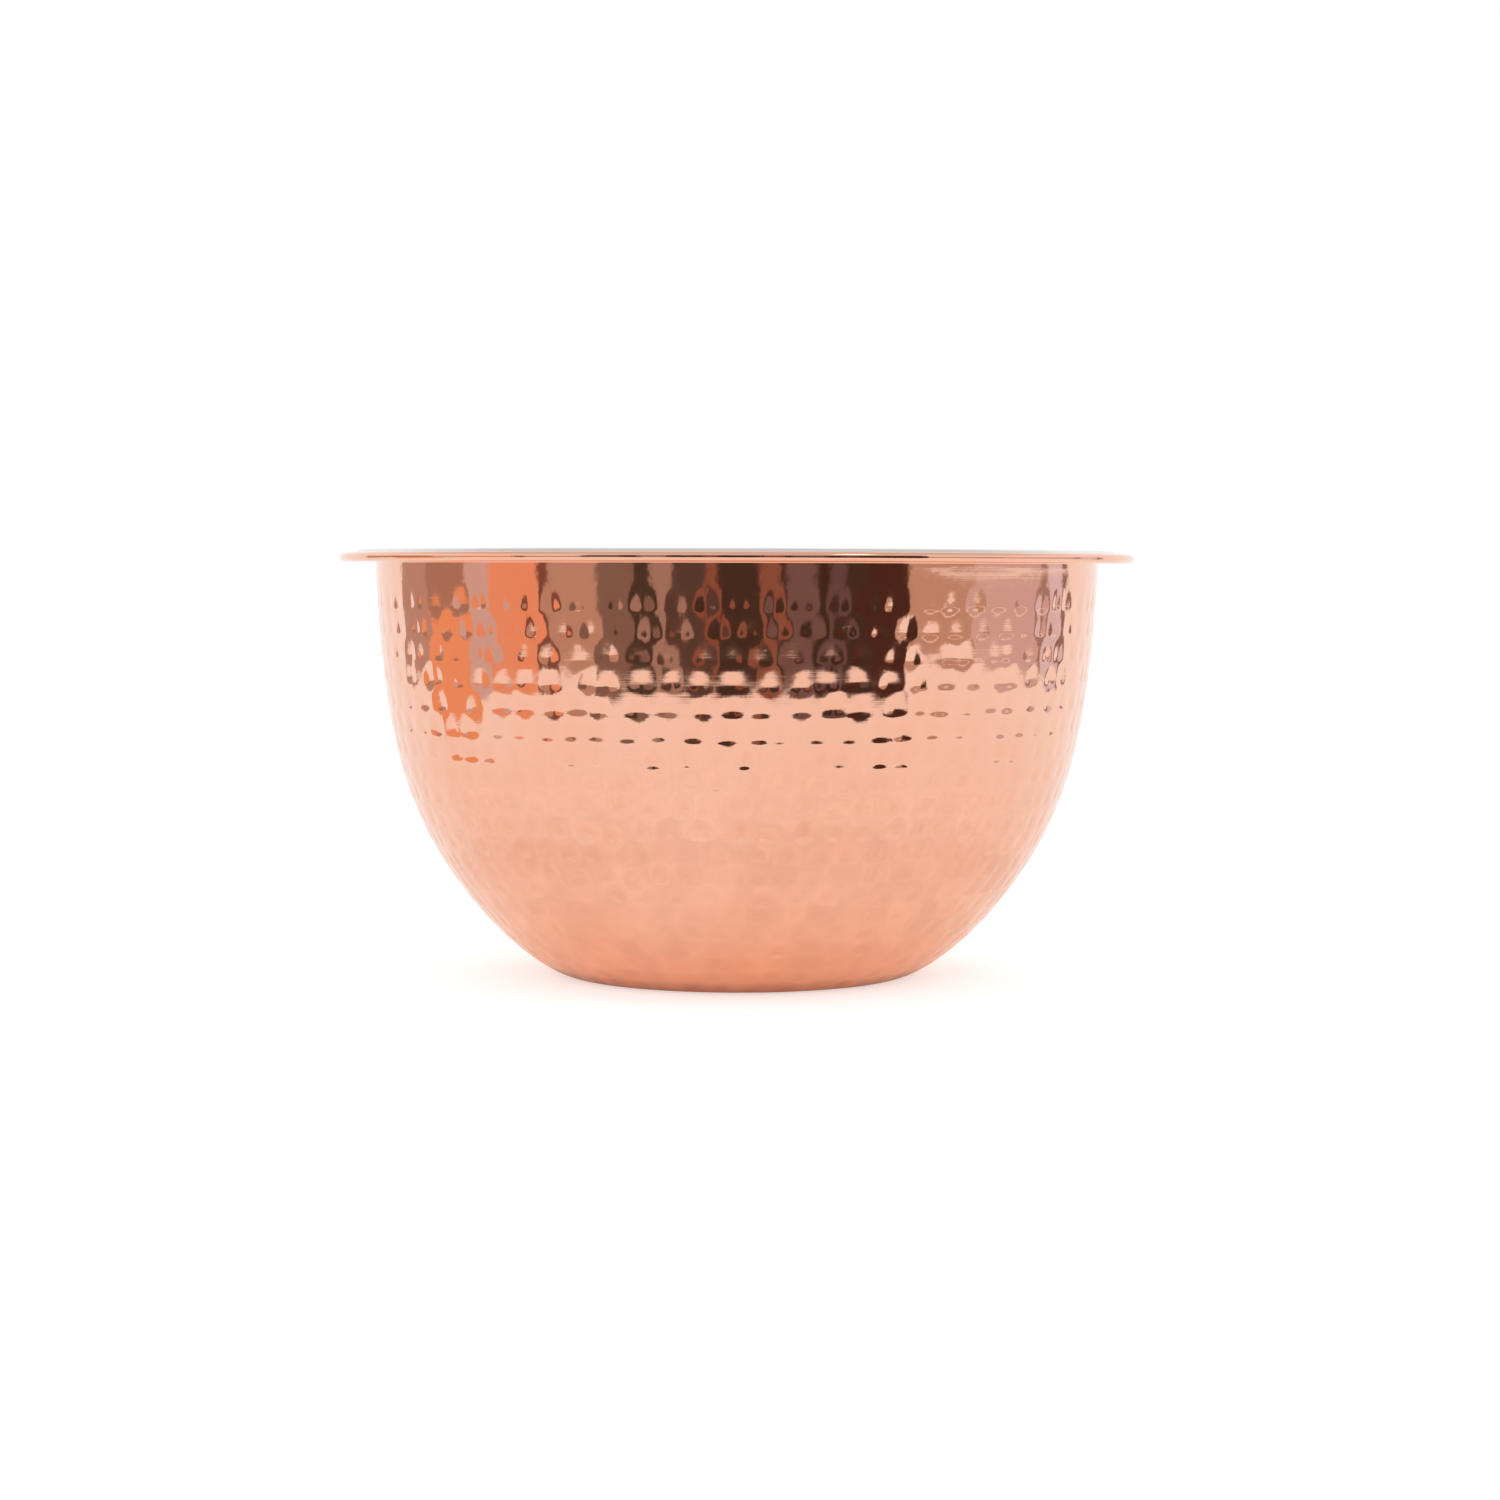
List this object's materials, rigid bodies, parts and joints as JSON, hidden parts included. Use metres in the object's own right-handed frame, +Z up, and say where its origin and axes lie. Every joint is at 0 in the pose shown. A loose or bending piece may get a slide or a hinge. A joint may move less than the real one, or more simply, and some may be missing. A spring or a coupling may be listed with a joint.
{
  "type": "mixing bowl",
  "caption": "Round mixing bowl: hammered copper shell over a stainless liner, with a flat flange and a wired, rolled edge.",
  "frame": {"origin": "middle of the flat base, on the surface that the bowl stands on", "axes": "+Z up along the bowl's axis, from the base to the rim; X and Y lie in the base plane and are interchangeable"},
  "size_m": [0.254, 0.254, 0.136],
  "materials": {
    "copper": "hammered and polished copper, clear lacquered, with fine lines round the bowl",
    "steel": "satin stainless steel, brushed round the bowl",
    "wire": "bright drawn steel wire, not seen"
  },
  "bodies": {
    "root": {"copper_shell": "copper", "steel_liner": "steel", "rim_wire": "wire"}
  },
  "joints": []
}
